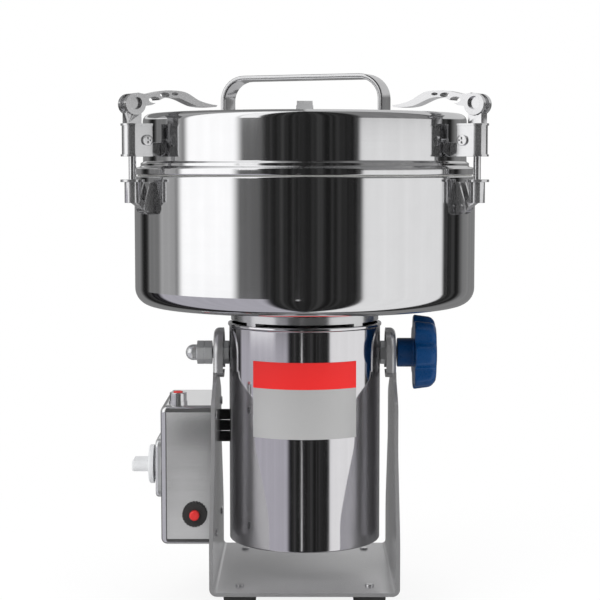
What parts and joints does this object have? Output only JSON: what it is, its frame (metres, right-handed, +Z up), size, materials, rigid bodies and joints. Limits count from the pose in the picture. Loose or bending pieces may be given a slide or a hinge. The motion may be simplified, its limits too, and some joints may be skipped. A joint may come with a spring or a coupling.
{
  "type": "electric powder grinder",
  "caption": "Upright electric powder grinder: a lidded steel bowl with clamp levers on a motor tube, tilting in a U-shaped stand with a knob and a switch box.",
  "frame": {"origin": "on the standing plane under the motor axis, at the middle of the four feet", "axes": "+Z up along the motor axis, -Y towards the front with the rating plate, +X towards the tilt knob"},
  "size_m": [0.2872, 0.3008, 0.429],
  "materials": {
    "stainless_satin": "satin stainless sheet, fine drawn grain",
    "stainless_polished": "bright polished stainless sheet",
    "bright_steel": "bright plated steel",
    "cast_zinc": "polished casting",
    "dark_steel": "blackened steel",
    "motor_iron": "laminated iron",
    "copper": "enamelled copper",
    "brass": "turned brass",
    "black_rubber": "matt moulded rubber",
    "white_rubber": "food-grade silicone rubber",
    "black_plastic": "moulded plastic",
    "blue_plastic": "moulded phenolic",
    "grey_plastic": "light grey moulded plastic",
    "silver_plate": "silver-grey pressed plate",
    "red_plastic": "moulded plastic",
    "rating_label": "printed plate, left bare"
  },
  "bodies": {
    "base": {"base_bracket": "stainless_satin", "rubber_feet": "black_rubber", "base_screws": "bright_steel", "switch_box": "stainless_polished", "rotary_switch": "black_plastic", "switch_plate": "silver_plate", "breaker_body": "black_plastic", "breaker_ring": "black_plastic", "button_bezel": "bright_steel", "start_switch": "black_plastic", "power_gland": "black_plastic", "motor_lead": "black_rubber"},
    "switch_knob": {"switch_knob": "grey_plastic"},
    "start_button": {"start_button": "red_plastic"},
    "reset_button": {"reset_button": "red_plastic"},
    "grinder": {"trunnion_studs": "bright_steel", "trunnion_nuts": "dark_steel", "dome_nut": "bright_steel", "motor_housing": "stainless_satin", "bottom_cover": "stainless_satin", "housing_screws": "bright_steel", "vent_collar": "cast_zinc", "shaft_bearings": "bright_steel", "lower_end_bell": "cast_zinc", "stator_core": "motor_iron", "field_coils": "copper", "brush_holders": "brass", "carbon_brushes": "dark_steel", "shaft_seal": "white_rubber", "bowl": "stainless_satin", "rating_plate": "rating_label", "clamp_brackets": "stainless_satin", "hinge_pins": "bright_steel"},
    "tilt_knob": {"tilt_knob": "blue_plastic", "knob_insert": "brass"},
    "spindle": {"motor_shaft": "bright_steel", "armature_core": "motor_iron", "armature_winding": "copper", "commutator": "copper", "cooling_fan": "cast_zinc", "lower_blade": "stainless_satin", "blade_spacer": "stainless_satin", "upper_blade": "stainless_satin", "blade_nut": "stainless_satin"},
    "lid": {"lid_shell": "stainless_satin", "lid_lugs": "stainless_satin", "lid_gasket": "white_rubber", "lid_handle": "stainless_satin"},
    "rear_clamp": {"rear_clamp_link": "cast_zinc", "rear_clamp_rod": "bright_steel", "rear_clamp_yoke": "bright_steel"},
    "rear_lever": {"rear_cam_lever": "cast_zinc"},
    "left_clamp": {"left_clamp_link": "cast_zinc", "left_clamp_rod": "bright_steel", "left_clamp_yoke": "bright_steel"},
    "left_lever": {"left_cam_lever": "cast_zinc"},
    "right_clamp": {"right_clamp_link": "cast_zinc", "right_clamp_rod": "bright_steel", "right_clamp_yoke": "bright_steel"},
    "right_lever": {"right_cam_lever": "cast_zinc"}
  },
  "joints": [
    {"name": "tilt", "type": "hinge", "parent": "base", "child": "grinder", "pos_m": [0, 0, 0.2025], "axis": [1, 0, 0], "range_deg": [-60, 60]},
    {"name": "tilt_knob_turn", "type": "hinge", "parent": "grinder", "child": "tilt_knob", "pos_m": [0.09, 0, 0.2025], "axis": [1, 0, 0], "continuous": true},
    {"name": "spindle_turn", "type": "hinge", "parent": "grinder", "child": "spindle", "pos_m": [0, 0, 0.25], "axis": [0, 0, 1], "continuous": true},
    {"name": "lid_lift", "type": "slide", "parent": "grinder", "child": "lid", "axis": [0, 0, 1], "range_m": [0, 0.08]},
    {"name": "switch_turn", "type": "hinge", "parent": "base", "child": "switch_knob", "pos_m": [-0.125, 0, 0.1095], "axis": [-1, 0, 0], "range_deg": [0, 90]},
    {"name": "start_press", "type": "slide", "parent": "base", "child": "start_button", "axis": [0, 0, -1], "range_m": [0, 0.002], "stiffness_N_per_m": 600},
    {"name": "reset_press", "type": "slide", "parent": "base", "child": "reset_button", "axis": [0, 1, 0], "range_m": [0, 0.002], "stiffness_N_per_m": 600},
    {"name": "rear_clamp_swing", "type": "hinge", "parent": "grinder", "child": "rear_clamp", "pos_m": [0, 0.1422, 0.3228], "axis": [-1, 0, 0], "range_deg": [0, 110]},
    {"name": "rear_lever_turn", "type": "hinge", "parent": "rear_clamp", "child": "rear_lever", "pos_m": [0, 0.153, 0.4035], "axis": [-1, 0, 0], "range_deg": [0, 110]},
    {"name": "left_clamp_swing", "type": "hinge", "parent": "grinder", "child": "left_clamp", "pos_m": [-0.12315, -0.0711, 0.3228], "axis": [0.5, -0.866, 0], "range_deg": [0, 110]},
    {"name": "left_lever_turn", "type": "hinge", "parent": "left_clamp", "child": "left_lever", "pos_m": [-0.1325, -0.0765, 0.4035], "axis": [0.5, -0.866, 0], "range_deg": [0, 110]},
    {"name": "right_clamp_swing", "type": "hinge", "parent": "grinder", "child": "right_clamp", "pos_m": [0.12315, -0.0711, 0.3228], "axis": [0.5, 0.866, 0], "range_deg": [0, 110]},
    {"name": "right_lever_turn", "type": "hinge", "parent": "right_clamp", "child": "right_lever", "pos_m": [0.1325, -0.0765, 0.4035], "axis": [0.5, 0.866, 0], "range_deg": [0, 110]}
  ],
  "couplings": [
    {"joint": "rear_clamp_swing", "follows": "lid_lift", "rad_per_m": 23.996},
    {"joint": "left_clamp_swing", "follows": "lid_lift", "rad_per_m": 23.996},
    {"joint": "right_clamp_swing", "follows": "lid_lift", "rad_per_m": 23.996}
  ]
}
